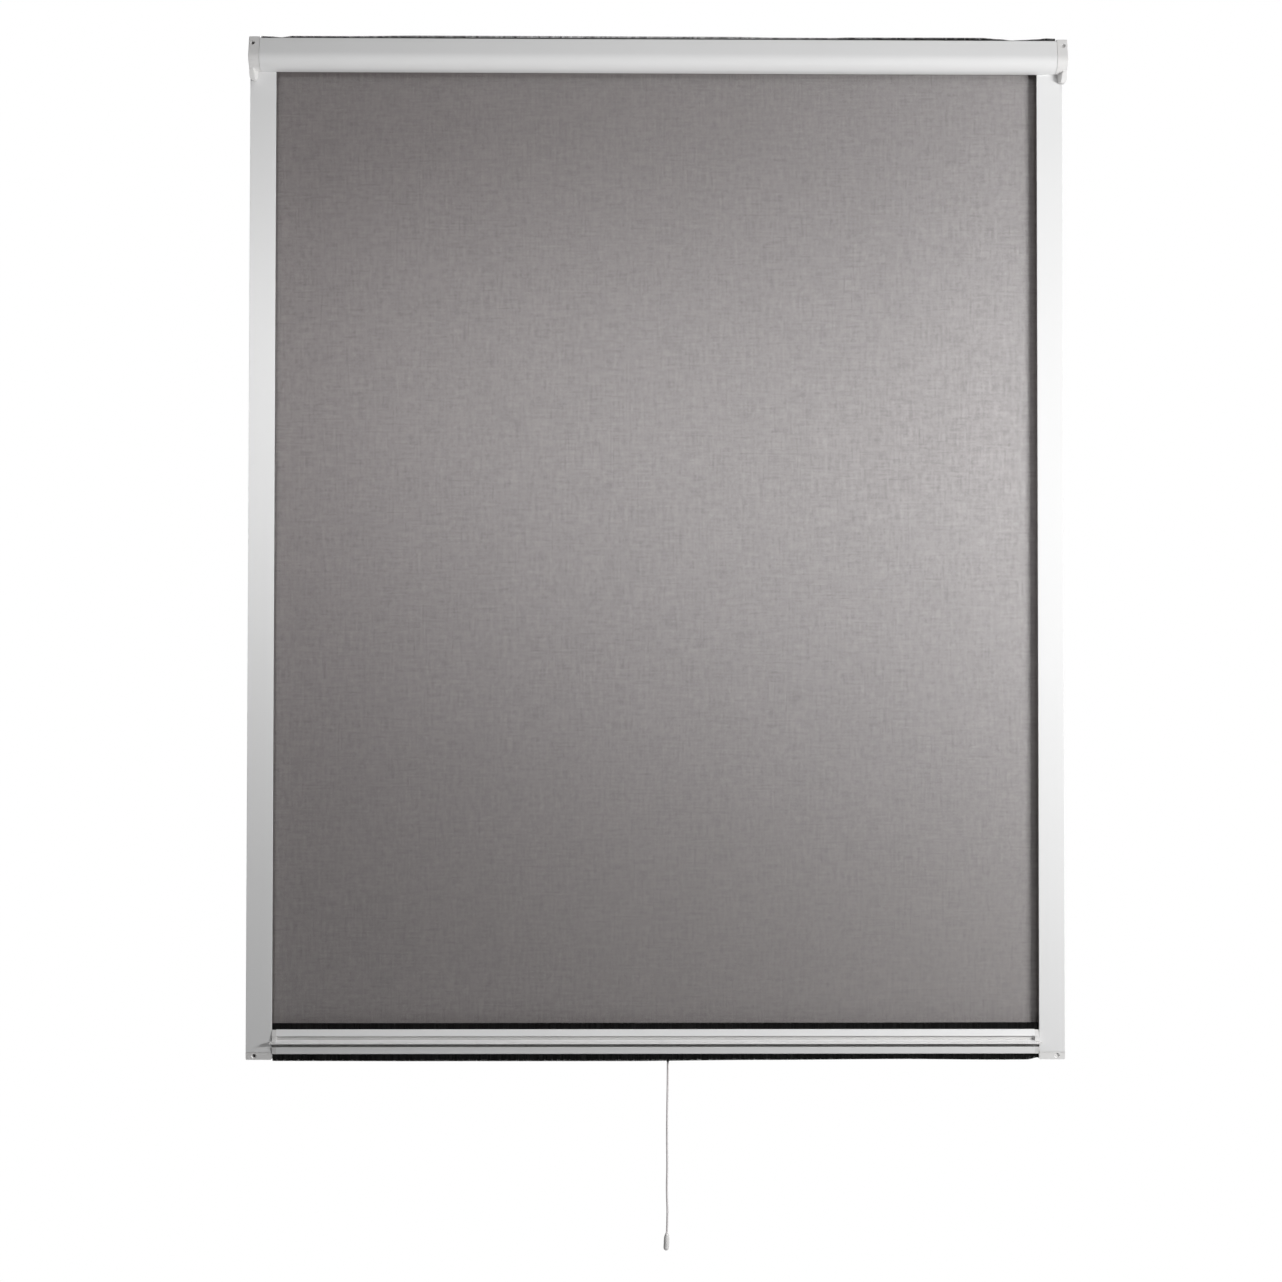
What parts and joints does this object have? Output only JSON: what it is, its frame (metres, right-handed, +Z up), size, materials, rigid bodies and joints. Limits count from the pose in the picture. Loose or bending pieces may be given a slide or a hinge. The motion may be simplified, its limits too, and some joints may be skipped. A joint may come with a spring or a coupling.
{
  "type": "roll-up insect screen",
  "caption": "Window insect screen on a sprung roller: head box, side guides with feet, mesh and pull bar with cord.",
  "frame": {"origin": "centre of the head box's flat back face", "axes": "+Z up along the guides, +X to the right seen from the front, +Y backwards into the window frame"},
  "size_m": [1.2043, 0.0464, 1.7866],
  "materials": {
    "coated_aluminium": "satin",
    "white_plastic": "satin",
    "black_pile": "matte",
    "mesh_fabric": "satin",
    "bare_aluminium": "satin",
    "grey_plastic": "matte",
    "bright_steel": "satin",
    "black_plastic": "matte",
    "cord_white": "matte",
    "knob_plastic": "gloss"
  },
  "bodies": {
    "frame": {"cassette_profile": "coated_aluminium", "cassette_top_brush": "black_pile", "cassette_mouth_brush": "black_pile", "end_cap_left": "white_plastic", "end_cap_right": "white_plastic", "guide_left": "coated_aluminium", "guide_right": "coated_aluminium", "guide_left_brush_back": "black_pile", "guide_left_brush_front": "black_pile", "guide_right_brush_back": "black_pile", "guide_right_brush_front": "black_pile", "foot_left": "white_plastic", "foot_right": "white_plastic", "mesh_screen": "mesh_fabric", "spring_axle": "bright_steel", "torsion_spring": "bright_steel", "spring_anchor": "grey_plastic"},
    "roller": {"mesh_roll": "mesh_fabric", "roller_tube": "bare_aluminium", "roller_spline": "grey_plastic", "tube_plug_left": "grey_plastic", "tube_plug_right": "grey_plastic"},
    "pull_bar": {"bottom_bar_profile": "coated_aluminium", "bar_spline": "grey_plastic", "bar_brush_upper": "black_pile", "bar_brush_lower": "black_pile", "bar_end_plug_left": "white_plastic", "bar_end_plug_right": "white_plastic", "cord_gland": "black_plastic", "pull_cord": "cord_white", "cord_knob": "knob_plastic"}
  },
  "joints": [
    {"name": "bar_slide", "type": "slide", "parent": "frame", "child": "pull_bar", "axis": [0, 0, 1], "range_m": [0, 1.397], "deforming": ["mesh_screen"]},
    {"name": "roller_spin", "type": "hinge", "parent": "frame", "child": "roller", "pos_m": [0, -0.0251, 0], "axis": [1, 0, 0], "range_deg": [0, 5400]}
  ],
  "couplings": [
    {"joint": "roller_spin", "follows": "bar_slide", "rad_per_m": 66.6}
  ]
}
